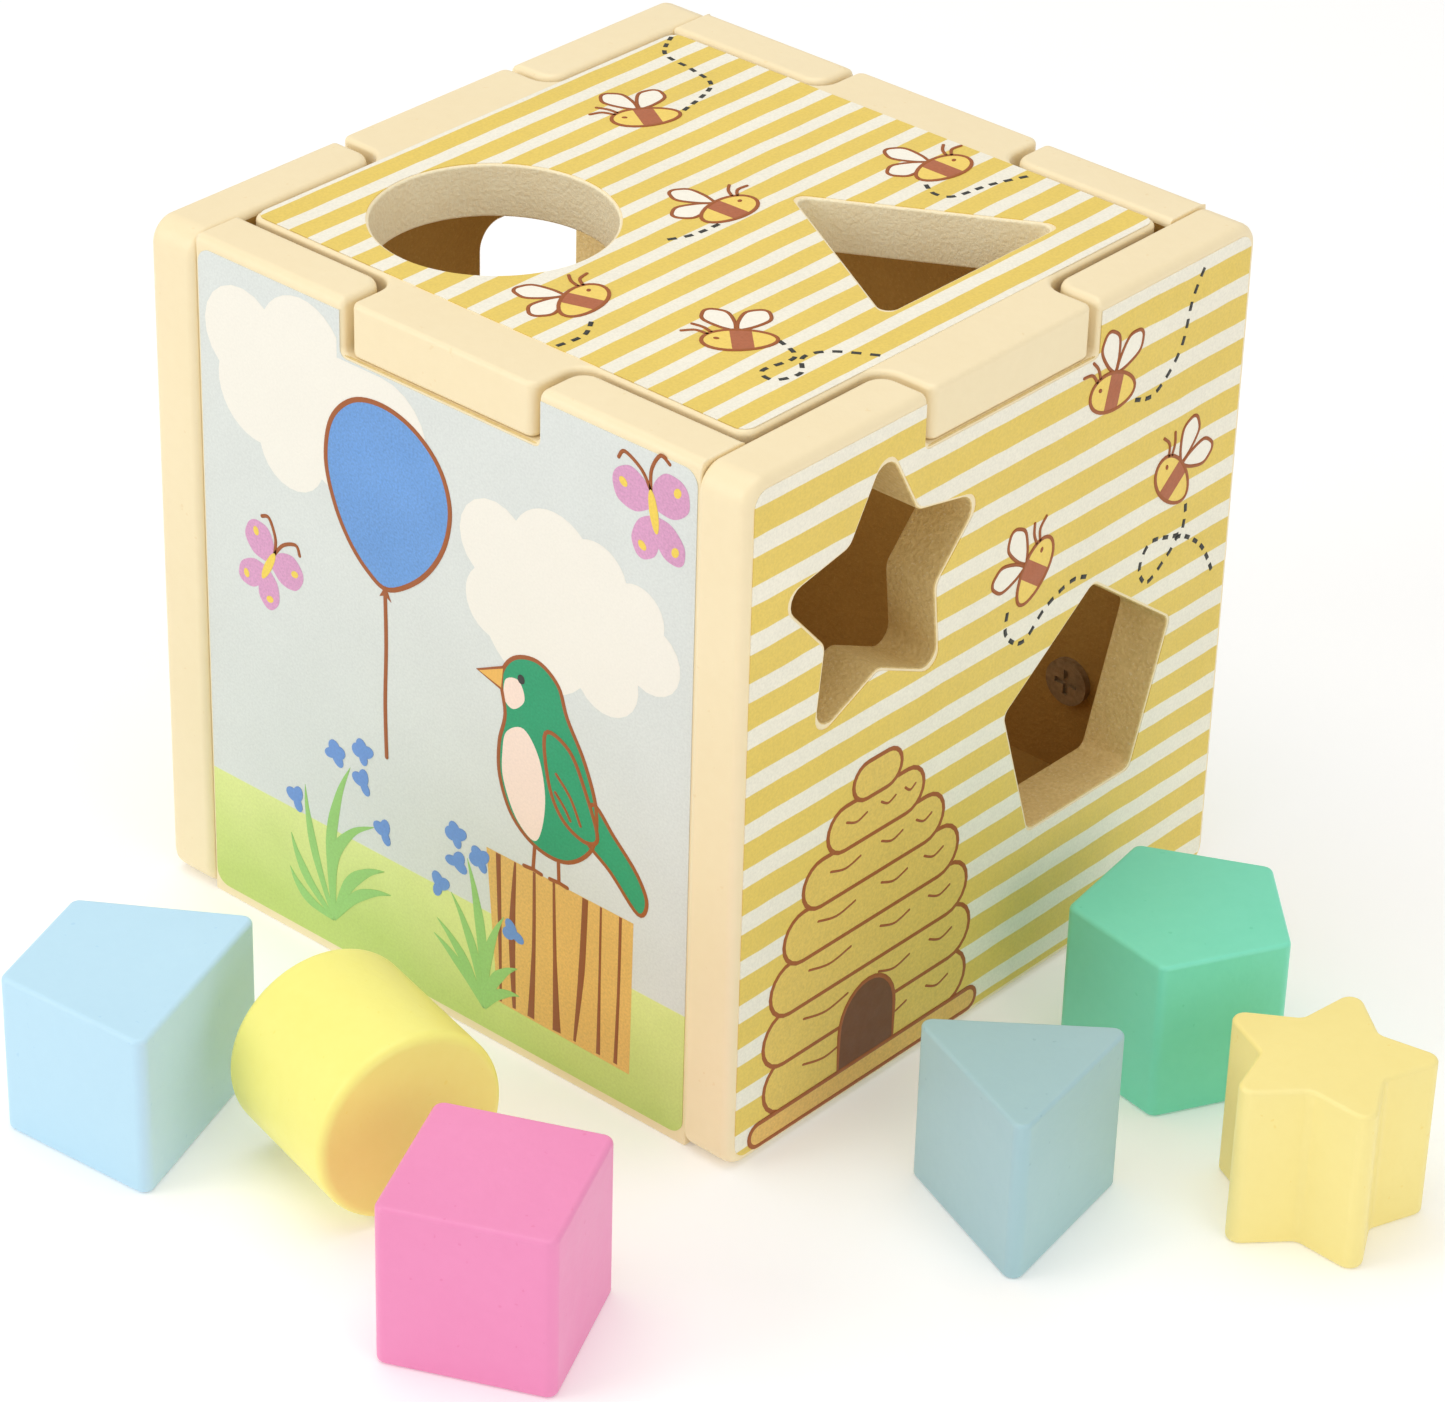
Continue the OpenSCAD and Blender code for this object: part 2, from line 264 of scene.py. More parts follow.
def makePrintGrain():  # fine stipple of ink on an embossed film
    group, start, end, place = newGroup("printGrain", [
        ("Ink", "Color", (1, 1, 1, 1)), ("Grain", "Float", 0.1), ("Emboss", "Float", 1.0)],
        [("Colour", "Color"), ("Roughness", "Float"), ("Height", "Float")])
    dots = patches(group, place, 2100.0, 3.0, -1.0, 1.0)
    drift = patches(group, place, 60.0, 3.0, -0.35, 0.35)
    tone = plus(group, 1.0, times(group, plus(group, dots, drift), start["Grain"]))
    grey = addNode(group, "CombineColor", {0: tone, 1: tone, 2: tone}).outputs[0]
    colour = mixColour(group, 1.0, start["Ink"], grey, "MULTIPLY")
    skin = noise(group, place, 1500.0, 2.0)
    height = times(group, plus(group, skin, times(group, dots, 0.12)), start["Emboss"])
    plug(group, end, {"Colour": colour, "Height": height,
                      "Roughness": patches(group, place, 300.0, 3.0, 0.42, 0.56)})
    return group


def makeStripeBands():  # two inks in even bands along one coordinate
    group, start, end, place = newGroup("stripeBands", [
        ("Along", "Float", 0.0), ("Start", "Float", 0.0), ("Period", "Float", 0.009),
        ("White Share", "Float", 0.42),
        ("Gold", "Color", (1, 0.8, 0.3, 1)), ("White", "Color", (1, 1, 1, 1))], [("Colour", "Color")])
    wander = patches(group, place, 90.0, 2.0, -0.00012, 0.00012)
    along = plus(group, start["Along"], wander)
    past = maths(group, "SUBTRACT", along, start["Start"])
    turn = maths(group, "FRACT", maths(group, "DIVIDE", past, start["Period"]))
    rise = spread(group, turn, 0.0, 1.0, 0.0, 0.02)
    over = maths(group, "SUBTRACT", turn, start["White Share"])
    fall = spread(group, over, 1.0, 0.0, -0.01, 0.01)
    colour = mixColour(group, times(group, rise, fall), start["Gold"], start["White"])
    plug(group, end, {"Colour": colour})
    return group


sprayedPaint = makeSprayedPaint()
# the edge group paints a highlight: lighter paint along rounded edges
edgeHighlight = makeEdgeHighlight()
boardGrain = makeBoardGrain()
printGrain = makePrintGrain()
stripeBands = makeStripeBands()
print("shared effects made")


# Materials

def bumpOn(tree, shader, height, strength, distance):
    bump = addNode(tree, "Bump", {"Height": height, "Strength": strength, "Distance": distance})
    tree.links.new(bump.outputs[0], shader.inputs["Normal"])


def floorMaterial(s):
    material, tree, shader = newMaterial("paleFloor")
    place = addNode(tree, "TexCoord").outputs["Object"]
    drift = patches(tree, place, 3.0)
    tone = mixColour(tree, drift, rgb(*s["colour"]), rgb(*s["tint"]))
    plug(tree, shader.inputs, {"Base Color": tone, "Roughness": s["rough"],
                               "Emission Strength": s["glow"], "Emission Color": (1, 1, 1, 1)})
    return material


def paintMaterial(name, paint, shade, highlightColour, mottle=0.3, rough=0.38, peel=620.0, bump=0.2, highlightAmount=0.5,
                  highlightWidth=1.3 * mm):
    material, tree, shader = newMaterial(name)
    coat = useGroup(tree, sprayedPaint, {"Paint": rgb(*paint), "Shade": rgb(*shade), "Mottle": mottle,
                                         "Peel Scale": peel, "Rough": rough})
    # painted highlight: the paler edge colour is laid along rounded edges
    mask = useGroup(tree, edgeHighlight, {"Radius": highlightWidth, "Amount": highlightAmount})["Mask"]
    plug(tree, shader.inputs, {"Base Color": mixColour(tree, mask, coat["Colour"], rgb(*highlightColour)),
                               "Roughness": coat["Roughness"], "Specular IOR Level": 0.42})
    bumpOn(tree, shader, coat["Height"], bump, 0.25 * mm)
    return material


def boardMaterial(name, base, dark, fleck, contrast, rough, bump):
    material, tree, shader = newMaterial(name)
    cut = useGroup(tree, boardGrain, {"Base": rgb(*base), "Dark": rgb(*dark), "Fleck": rgb(*fleck),
                                      "Contrast": contrast})
    plug(tree, shader.inputs, {"Base Color": cut["Colour"], "Roughness": rough,
                               "Specular IOR Level": 0.3})
    bumpOn(tree, shader, cut["Height"], bump, 0.4 * mm)
    return material


def printMaterial(name, ink, grain, bump=0.16):  # ink is a colour, or what draws the picture
    material, tree, shader = newMaterial(name)
    colour = ink(tree) if callable(ink) else rgb(*ink)
    film = useGroup(tree, printGrain, {"Ink": colour, "Grain": grain})
    plug(tree, shader.inputs, {"Base Color": film["Colour"], "Roughness": film["Roughness"],
                               "Specular IOR Level": 0.35})
    bumpOn(tree, shader, film["Height"], bump, 0.12 * mm)
    return material


stripeSet = {
    "gold": (235, 206, 102), "white": (246, 241, 224),
    # axis that the bands cross, where a white band starts, period and share of white
    "side": ("Z", 131.5 * mm, 9.15 * mm, 0.42),
    "lid": ("X", 40.4 * mm, 7.69 * mm, 0.42),
}


def stripes(axis, start, period, share):
    def draw(tree):
        place = addNode(tree, "TexCoord").outputs["Object"]
        along = addNode(tree, "SeparateXYZ", {0: place}).outputs[axis]
        bands = {"Along": along, "Start": start, "Period": period, "White Share": share,
                 "Gold": rgb(*stripeSet["gold"]), "White": rgb(*stripeSet["white"])}
        return useGroup(tree, stripeBands, bands)["Colour"]
    return draw


scenerySet = {
    "sky": (223, 228, 224), "skyLow": (222, 226, 220),
    "hillTop": (226, 236, 150), "hillLow": (196, 216, 120),
    "hillLine": 27.4 * mm,
}


def scenery(tree):  # pale sky over a lime hill
    s = scenerySet
    place = addNode(tree, "TexCoord").outputs["Object"]
    height = addNode(tree, "SeparateXYZ", {0: place}).outputs["Z"]
    sky = mixColour(tree, spread(tree, height, 0.0, 1.0, 0.13, 0.03), rgb(*s["sky"]), rgb(*s["skyLow"]))
    blotch = patches(tree, place, 35.0, 3.0, -0.006, 0.006)
    depth = spread(tree, plus(tree, height, blotch), 0.0, 1.0, 0.027, 0.004)
    hill = mixColour(tree, depth, rgb(*s["hillTop"]), rgb(*s["hillLow"]))
    over = maths(tree, "SUBTRACT", height, s["hillLine"])
    return mixColour(tree, spread(tree, over, 0.0, 1.0, -0.1 * mm, 0.1 * mm), hill, sky)


# name: (paint, shade, lighter edge colour of the painted highlight)
paintSet = {
    "creamPaint": ((250, 233, 193), (238, 216, 168), (254, 242, 210)),
    "yellowPaint": ((253, 247, 140), (245, 232, 112), (255, 251, 176)),
    "greyBluePaint": ((170, 206, 212), (156, 192, 202), (192, 221, 226)),
    "paleYellowPaint": ((253, 237, 156), (242, 220, 128), (255, 244, 190)),
    "greenPaint": ((133, 236, 205), (108, 218, 182), (168, 242, 222)),
    "pinkPaint": ((245, 148, 196), (234, 130, 180), (252, 182, 216)),
    "lightBluePaint": ((194, 231, 250), (180, 220, 242), (214, 240, 252)),
}
paints = {name: paintMaterial(name, *colours) for name, colours in paintSet.items()}

cutSet = {  # name: (base, dark fibres, pale flecks, contrast, roughness, bump)
    "thinPaintOnCutBoard": ((240, 214, 150), (196, 164, 96), (250, 234, 194), 0.45, 0.6, 0.35),
    # the lid's copy of the hole paint is paler than the boards' copy: painted light on the lid's hole walls
    # and underside
    "litPaintOnCutLid": ((255, 246, 214), (242, 220, 172), (255, 250, 230), 0.35, 0.6, 0.35),
    "bareFibreboard": ((190, 150, 78), (160, 120, 54), (208, 172, 100), 0.35, 0.75, 0.3),
    "dowelWood": ((214, 180, 128), (186, 148, 96), (232, 206, 164), 0.4, 0.6, 0.25),
}
holePaint, litLidHolePaint, rawBoard, dowelWood = (boardMaterial(name, *look) for name, look in cutSet.items())
sideStripes = printMaterial("stripedPrint", stripes(*stripeSet["side"]), 0.055)
lidStripes = printMaterial("stripedLidPrint", stripes(*stripeSet["lid"]), 0.055)
sceneryPrint = printMaterial("sceneryPrint", scenery, 0.045)


def makeScrewSteel():
    material, tree, shader = newMaterial("tarnishedZinc")
    place = addNode(tree, "TexCoord").outputs["Object"]
    dull = patches(tree, place, 700.0, 4.0)
    plug(tree, shader.inputs, {"Base Color": mixColour(tree, dull, rgb(178, 156, 124), rgb(136, 112, 80)),
                               "Metallic": spread(tree, dull, 0.4, 0.2),
                               "Roughness": spread(tree, dull, 0.45, 0.65)})
    bumpOn(tree, shader, dull, 0.2, 0.1 * mm)
    return material


screwSteel = makeScrewSteel()
print("materials made")


# Mesh helpers

def finishPiece(shape, name, materials, flatAngle=38):
    mesh = bpy.data.meshes.new(name)
    for face in shape.faces:
        face.smooth = True
    for edge in shape.edges:
        edge.smooth = len(edge.link_faces) == 2 and edge.calc_face_angle(0.0) < math.radians(flatAngle)
    shape.to_mesh(mesh)
    shape.free()
    for material in materials:
        mesh.materials.append(material)
    piece = bpy.data.objects.new(name, mesh)
    addToScene(piece)
    even = piece.modifiers.new("evenNormals", "WEIGHTED_NORMAL")
    even.keep_sharp = True
    return piece


def weldedCopy(node):  # a CAD node's mesh with its loose triangles merged into whole faces
    shape = bmesh.new()
    shape.from_mesh(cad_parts[node].data)
    bmesh.ops.remove_doubles(shape, verts=shape.verts, dist=2e-6)
    bmesh.ops.dissolve_limit(shape, angle_limit=math.radians(0.6), verts=shape.verts, edges=shape.edges)
    shape.edges.layers.float.new("bevel_weight_edge")
    return shape


def isSharp(edge):
    return len(edge.link_faces) == 2 and edge.calc_face_angle(0.0) > sharpAngle


def bevelEdges(shape, edges, radius, segments):
    if edges:
        bmesh.ops.bevel(shape, geom=edges, affect="EDGES", offset=radius, offset_type="OFFSET",
                        segments=segments, profile=0.5, clamp_overlap=False, material=-1, loop_slide=False)


def roundEdges(shape, widths, segments):  # one Bevel pass with a width for each edge
    widest = max(widths.values())
    layer = shape.edges.layers.float["bevel_weight_edge"]
    for edge, width in widths.items():
        edge[layer] = width / widest
    mesh = bpy.data.meshes.new("rough")
    shape.to_mesh(mesh)
    shape.free()
    holder = bpy.data.objects.new("rough", mesh)
    addToScene(holder)
    bevel = holder.modifiers.new("round", "BEVEL")
    bevel.limit_method = "WEIGHT"
    bevel.width = widest
    bevel.segments = segments
    bevel.profile = 0.5
    bevel.use_clamp_overlap = False
    bevel.loop_slide = False
    bevel.miter_outer = "MITER_SHARP"
    bpy.context.view_layer.update()
    rounded = holder.evaluated_get(bpy.context.evaluated_depsgraph_get())
    shape = bmesh.new()
    shape.from_mesh(rounded.to_mesh())
    rounded.to_mesh_clear()
    bpy.data.objects.remove(holder)
    bpy.data.meshes.remove(mesh)
    return shape


# Wall boards

boardSet = {
    "outer": 1.9 * mm,      # rounding of the outer edges
    "inner": 1.5 * mm,      # inner edges, and the ears' top edges beside the lid
    "notchSide": 1.0 * mm,  # outer edges of the notch, next to the film
    "notchFloor": 0.4 * mm,
    "seam": 0.35 * mm,      # ends glued to the side boards
    "hole": 0.35 * mm,
    "ear": 4.0 * mm,        # inner rounding of the notch's two ears, in plan
    "segments": 4,
    "earSteps": 6,
    "dowelReach": 4.0 * mm,  # how far a dowel hole's edges lie from the middle of the joint
    "baseReach": 14.0 * mm,  # the base board's dowel holes lie below this
    "rim": 7.0 * mm,         # a face nearer the board's ends than this isn't in a hole
    "skin": 0.3 * mm,        # depth of the inner side's faces
}


def makeWall(node, across, inner, s=boardSet):  # across: the axis that runs through the board
    shape = weldedCopy(node)
    along = 1 - across
    isSide = across == 0
    halfLength = depthHalf if isSide else sideInner
    outward = 1 if inner > 0 else -1
    thick = sideFace - sideInner

    def onInner(v):
        return abs(v.co[across] - inner) < tiny

    def inNotch(v):
        return v.co.z > lidLow.z - tiny and abs(v.co[along]) < notchHalf + tiny

    def onBorder(v):
        far, z = abs(v.co[along]), v.co.z
        nearEnd = far > halfLength - cornerR - tiny
        nearCorner = isSide and nearEnd and not cornerR + tiny <= z <= topZ - cornerR - tiny
        return nearCorner or inNotch(v) or z < tiny or z > topZ - tiny or far > halfLength - tiny

    ears = [e for e in shape.edges if isSharp(e) and all(onInner(v) and inNotch(v) for v in e.verts)]
    ears = [e for e in ears if not all(v.co.z > topZ - tiny for v in e.verts)]
    bevelEdges(shape, ears, s["ear"], s["earSteps"])
    widths = {}
    for edge in shape.edges:
        a, b = edge.verts
        if not isSharp(edge):
            continue
        atEnds = all(abs(v.co[along]) > halfLength - tiny for v in (a, b))
        fromInner = [outward * (v.co[across] - inner) for v in (a, b)]
        if onBorder(a) and onBorder(b):
            if not isSide and atEnds:
                widths[edge] = s["seam"]
            elif min(fromInner) > thick - tiny and inNotch(a) and inNotch(b):
                upright = abs((a.co - b.co).normalized().z)
                widths[edge] = s["notchFloor"] + (s["notchSide"] - s["notchFloor"]) * upright
            elif min(fromInner) > thick - tiny:
                widths[edge] = s["outer"]
            elif min(a.co.z, b.co.z) > topZ - tiny or not (inNotch(a) and inNotch(b)):
                widths[edge] = s["inner"]
        elif not isDowelEdge(a, b, isSide):
            widths[edge] = s["hole"]
    return roundEdges(shape, widths, s["segments"])


def isDowelEdge(a, b, isSide, s=boardSet):  # the blind holes stay as they are
    middle = (a.co + b.co) / 2
    if not isSide:
        return True
    inJoint = abs(abs(middle.y) - (frontFace + frontInner) / 2) < s["dowelReach"]
    return inJoint or middle.z < s["baseReach"]


def paintWall(shape, across, inner, s=boardSet):  # 0 cream, 1 thin paint in the holes, 2 bare board inside
    for face in shape.faces:
        middle = face.calc_center_median()
        facing = abs(face.normal[across])
        atInner = abs(middle[across] - inner) < s["skin"]
        if facing > 0.99 and atInner:
            face.material_index = 2
        elif facing < 0.9 and isHoleFace(face, across):
            face.material_index = 1


def isHoleFace(face, across, s=boardSet):
    middle = face.calc_center_median()
    far = abs(middle[1 - across])
    limit = depthHalf if across == 0 else sideInner
    if middle.z > lidLow.z - tiny and far < notchHalf + s["rim"]:
        return False
    return far < limit - s["rim"] and s["rim"] < middle.z < topZ - s["rim"]


def makeWalls():
    for side, (across, inner) in {"right": (0, sideInner), "left": (0, -sideInner),
                                  "front": (1, -frontInner), "back": (1, frontInner)}.items():
        shape = makeWall("wall_" + side, across, inner)
        paintWall(shape, across, inner)
        board = finishPiece(shape, side + "Board", [paints["creamPaint"], holePaint, rawBoard])
        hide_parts("wall_" + side)
        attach(board, "box")


# Lid

lidSet = {
    "neck": 4.6 * mm,        # in plan, where a tab meets the lid
    "tabCorner": 1.8 * mm,
    "bodyCorner": 1.2 * mm,
    "border": 1.0 * mm,      # rounding of the outer edges
    "hole": 0.5 * mm,
    "play": 1.2 * mm,        # more than the gap between the lid and the boards
    "paintedEdge": 6.0 * mm,
    "segments": 4,
    "cornerSteps": 6,
}


def rimLoops(shape, level):  # the flat face's rims at one level, with the board on their left
    following = {}
    for face in shape.faces:
        if face.normal.z > 0.99 and abs(face.verts[0].co.z - level) < tiny:
            for corner in face.loops:
                if isSharp(corner.edge):
                    following[corner.vert] = corner.link_loop_next.vert
    loops = []
    while following:
        vert, after = following.popitem()
        loop = [vert.co.xy]
        while after in following:
            loop.append(after.co.xy)
            after = following.pop(after)
        loops.append(loop)
    return loops


def cornerArc(before, corner, after, radius, steps):
    back, on = (before - corner).normalized(), (after - corner).normalized()
    half = back.angle(on) / 2
    centre = corner + (back + on).normalized() * radius / math.sin(half)
    start = corner + back * radius / math.tan(half) - centre
    sweep = math.pi - 2 * half
    if back.x * on.y - back.y * on.x > 0:
        sweep = -sweep
    return [centre + Matrix.Rotation(sweep * k / steps, 2) @ start for k in range(steps + 1)]


def insetLoop(loop, inset):
    result = []
    for k, point in enumerate(loop):
        into, out = (point - loop[k - 1]).normalized(), (loop[(k + 1) % len(loop)] - point).normalized()
        a, b = Vector((-into.y, into.x)), Vector((-out.y, out.x))
        result.append(point + (a + b) * inset / (1 + a.dot(b)))
    return result


def roundedPlate(loops, low, high, segments):  # loops: (points, edge radius), the board on their left
    shape = bmesh.new()
    ends = {low: [], high: []}
    for loop, radius in loops:
        turns = [math.pi / 2 * k / segments for k in range(segments + 1)]
        steps = [(radius * (1 - math.cos(t)), low + radius * (1 - math.sin(t))) for t in reversed(turns)]
        steps += [(radius * (1 - math.cos(t)), high - radius * (1 - math.sin(t))) for t in turns]
        rings = [[shape.verts.new((*p, z)) for p in insetLoop(loop, inset)] for inset, z in steps]
        for lower, upper in zip(rings, rings[1:]):
            for k in range(len(lower)):
                j = (k + 1) % len(lower)
                shape.faces.new((lower[k], lower[j], upper[j], upper[k]))
        for z, ring in ((low, rings[0]), (high, rings[-1])):
            ends[z] += [shape.edges.get((v, ring[k - 1])) for k, v in enumerate(ring)]
    for edges in ends.values():
        bmesh.ops.triangle_fill(shape, edges=edges, use_beauty=True, normal=(0, 0, 1))
    bmesh.ops.recalc_face_normals(shape, faces=shape.faces)
    return shape


def makeLid(s=lidSet):
    rough = weldedCopy("lid_panel")
    bodyX, bodyY = sideInner - s["play"], frontInner - s["play"]
    loops = []
    for rim in rimLoops(rough, topZ):
        if max(p.x for p in rim) < bodyX - tiny:
            loops.append((rim, s["hole"]))
            continue
        outline = []
        for k, point in enumerate(rim):
            before, after = rim[k - 1], rim[(k + 1) % len(rim)]
            into, out = point - before, after - point
            if into.angle(out) < sharpAngle:
                outline.append(point)
                continue
            convex = into.x * out.y - into.y * out.x > 0
            onTab = abs(point.x) > bodyX + tiny or abs(point.y) > bodyY + tiny
            radius = s["neck"] if not convex else s["tabCorner"] if onTab else s["bodyCorner"]
            outline += cornerArc(before, point, after, radius, s["cornerSteps"])
        loops.append((outline, s["border"]))
    rough.free()
    shape = roundedPlate(loops, lidLow.z, topZ, s["segments"])
    for face in shape.faces:
        middle = face.calc_center_median()
        border = abs(middle.x) > bodyX - s["paintedEdge"] or abs(middle.y) > bodyY - s["paintedEdge"]
        if face.normal.z < -0.99 or abs(face.normal.z) < 0.9 and not border:
            face.material_index = 1
    # the lid's hole walls and underside take the paler copy of the hole paint, as painted light
    lid = finishPiece(shape, "lidBoard", [paints["creamPaint"], litLidHolePaint])
    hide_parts("lid_panel")
    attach(lid, "lid")


# Blocks

blockSet = {  # block: (edge radius, paint, slot)
    "triangle": (0.8 * mm, "greyBluePaint", "grey_blue_paint"),
    "star": (0.8 * mm, "paleYellowPaint", "cream_yellow_paint"),
    "pentagon": (0.9 * mm, "greenPaint", "green_paint"),
    "cube": (1.0 * mm, "pinkPaint", "pink_paint"),
    "trapezoid": (1.0 * mm, "lightBluePaint", "light_blue_paint"),
    "cylinder": (0.0, "yellowPaint", "yellow_paint"),
}


def makeBlocks(blocks=blockSet, segments=4):
    for name, (radius, paint, slotName) in blocks.items():
        shape = weldedCopy("block_" + name)
        rims = {e: radius for e in shape.edges if isSharp(e)}
        if radius and rims:
            shape = roundEdges(shape, rims, segments)
        block = finishPiece(shape, name + "Block", [paints[paint]], flatAngle=50)
        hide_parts("block_" + name)
        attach(block, name)


# Printed pictures: thin closed shells of ink on the films, in millimetres on each board's own sheet

# ink: (colour, grain)
inkSet = {
    "cloudInk": ((246, 242, 230), 0.02),
    "balloonInk": ((108, 158, 220), 0.14),
    "outlineInk": ((164, 90, 40), 0.05),
    "mauveInk": ((220, 160, 198), 0.11),
    "butterYellowInk": ((246, 214, 88), 0.06),
    "bladeInk": ((156, 208, 118), 0.06),
    "petalInk": ((112, 154, 218), 0.06),
    "fenceInk": ((232, 188, 104), 0.10),
    "plankInk": ((150, 86, 46), 0.06),
    "bandInk": ((180, 104, 68), 0.07),
    "honeyInk": ((246, 214, 108), 0.05),
    "wingInk": ((252, 247, 232), 0.03),
    "dashInk": ((56, 56, 52), 0.05),
    "birdInk": ((44, 160, 112), 0.10),
    "bellyInk": ((252, 228, 212), 0.04),
    "beakInk": ((240, 186, 92), 0.05),
    "strawInk": ((232, 200, 102), 0.08),
    "doorInk": ((116, 70, 40), 0.06),
}
inks = {name: printMaterial(name, *look) for name, look in inkSet.items()}
inkStep = 0.02 * mm           # height of one layer of ink
inkRoot = -filmThick / 3      # how far the ink goes down into the film

# sheet: (a point on the film, direction of u, direction of v, body, slot)
sheetSet = {
    "front": ((0, -frontFace - filmThick, 0), (1, 0, 0), (0, 0, 1), "box", "scenery_print"),
    "back": ((0, frontFace + filmThick, 0), (-1, 0, 0), (0, 0, 1), "box", "scenery_print"),
    "right": ((sideFace + filmThick, 0, 0), (0, 1, 0), (0, 0, 1), "box", "striped_print"),
    "left": ((-sideFace - filmThick, 0, 0), (0, -1, 0), (0, 0, 1), "box", "striped_print"),
    "lid": ((0, 0, topZ + filmThick), (1, 0, 0), (0, 1, 0), "lid", "striped_print"),
}


def newDrawing():
    return {"shape": bmesh.new(), "inks": []}


def useInk(drawing, ink, faces):
    if ink not in drawing["inks"]:
        drawing["inks"].append(ink)
    for face in faces:
        face.material_index = drawing["inks"].index(ink)


def addFill(drawing, ink, outline, layer):
    points = [Vector(p) for p in outline]
    if sum(a.x * b.y - a.y * b.x for a, b in zip(points, points[1:] + points[:1])) < 0:
        points.reverse()
    verts = drawing["shape"].verts
    top = [verts.new((*(p * mm), layer * inkStep)) for p in points]
    low = [verts.new((*(p * mm), inkRoot)) for p in points]
    new = drawing["shape"].faces.new
    faces = [new(top), new(low[::-1])]
    faces += [new((low[k - 1], low[k], top[k], top[k - 1])) for k in range(len(points))]
    useInk(drawing, ink, faces)


def addStroke(drawing, ink, path, width, layer, closed=False, blunt=False):
    points = [Vector(p) for p in path]
    count = len(points)
    widths = width if isinstance(width, list) else [width] * count  # a list has one width for each point
    sections = []
    for k, point in enumerate(points):
        before = points[k - 1] if closed or k else point
        after = points[(k + 1) % count] if closed or k < count - 1 else point
        along = (after - before).normalized()
        sections.append((point, along, widths[k] / 2))
    if not closed and not blunt:
        (p, a, w), (q, b, v) = sections[0], sections[-1]
        sections = [(p - a * w * 0.95, a, w * 0.3), (p - a * w * 0.6, a, w * 0.8)] + sections
        sections += [(q + b * v * 0.6, b, v * 0.8), (q + b * v * 0.95, b, v * 0.3)]
    shape = drawing["shape"]
    rings = []
    for point, along, half in sections:
        side = Vector((-along.y, along.x)) * max(half, 0.02)
        left, right = (point + side) * mm, (point - side) * mm
        high, low = layer * inkStep, inkRoot
        corners = ((*left, high), (*right, high), (*right, low), (*left, low))
        rings.append([shape.verts.new(c) for c in corners])
    faces = []
    for a, b in zip(rings, rings[1:] + rings[:1] if closed else rings[1:]):
        faces += [shape.faces.new((a[k], a[(k + 1) % 4], b[(k + 1) % 4], b[k])) for k in range(4)]
    if not closed:
        faces += [shape.faces.new(rings[0][::-1]), shape.faces.new(rings[-1])]
    useInk(drawing, ink, faces)


def addOutlined(drawing, ink, outline, layer, line, lineLayer):
    addFill(drawing, ink, outline, layer)
    addStroke(drawing, "outlineInk", outline, line, lineLayer, closed=True)


def pointing(angle):
    return Vector((math.cos(math.radians(angle)), math.sin(math.radians(angle))))


def smooth(points, closed=False, steps=6):  # a flowing line through the points
    points = [Vector(p) for p in points]
    ends = points[-1:] + points + points[:2] if closed else points[:1] + points + points[-1:]
    result = []
    for a, b, c, d in zip(ends, ends[1:], ends[2:], ends[3:]):
        for k in range(steps):
            t = k / steps
            result.append(0.5 * (2 * b + (c - a) * t + (2 * a - 5 * b + 4 * c - d) * t ** 2
                                 + (3 * b - a - 3 * c + d) * t ** 3))
    return result if closed else result + [points[-1]]


def lobes(corners, steps=10):  # arcs between the corners; each bulge is a share of its chord
    result = []
    for (u, v, bulge), (nextU, nextV, last) in zip(corners, corners[1:] + corners[:1]):
        a, b = Vector((u, v)), Vector((nextU, nextV))
        if not bulge:
            result.append(a)
            continue
        half = 2 * math.atan(2 * bulge)
        centre = (a + b) / 2 - Vector((-(b - a).y, (b - a).x)) / (2 * math.tan(half))
        turns = [-2 * half * k / steps for k in range(steps)]
        result += [centre + Matrix.Rotation(turn, 2) @ (a - centre) for turn in turns]
    return result


def petal(root, tip, width, waist=0.62):
    root, tip = Vector(root), Vector(tip)
    along = tip - root
    side = Vector((-along.y, along.x)).normalized() * width / 2
    half = [(0.3, waist), (0.72, 1), (0.96, 0.5)]  # (share of the length, share of the half width)
    up = [root + along * far + side * wide for far, wide in half]
    down = [root + along * far - side * wide for far, wide in reversed(half)]
    return smooth([root, *up, tip + along * 0.03, *down, root])[:-1]


def oval(centre, across, high, turn=0.0, steps=20):
    spin = Matrix.Rotation(math.radians(turn), 2)
    angles = [2 * math.pi * k / steps for k in range(steps)]
    points = [Vector((across / 2 * math.cos(a), high / 2 * math.sin(a))) for a in angles]
    return [Vector(centre) + spin @ point for point in points]


def placed(points, at, heading, scale=1.0, flip=1):
    spin = Matrix.Rotation(math.radians(heading), 2)
    return [Vector(at) + spin @ (Vector((p[0], p[1] * flip)) * scale) for p in points]


def hang(drawing, sheet, name):  # turn the drawing on to its board
    at, u, v, body, slotName = sheetSet[sheet]
    out = Vector(u).cross(Vector(v))
    turn = Matrix((u, v, out)).transposed().to_4x4()
    shape = drawing["shape"]
    shape.transform(Matrix.Translation(at) @ turn)
    piece = finishPiece(shape, name, [inks[ink] for ink in drawing["inks"]])
    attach(piece, body)


# Bees and their dashed trails

beeSet = {
    "length": 13.0, "girth": 7.4, "line": 0.7,
    "band": (-2.3, 1.5),
    "eye": (3.9, 0.7),
    "feelers": (((5.3, 2.4), (7.2, 3.9), (9.6, 3.7)), ((4.6, 3.1), (5.8, 4.9), (7.6, 6.2))),
    "wings": (((0.4, 3.4), (4.6, 11.2)), ((0.1, 3.4), (-5.2, 10.4))),
    "wingWidth": 5.0, "sweep": 40.0,
    "dash": 1.7, "gap": 1.5, "dashWidth": 0.85,
}


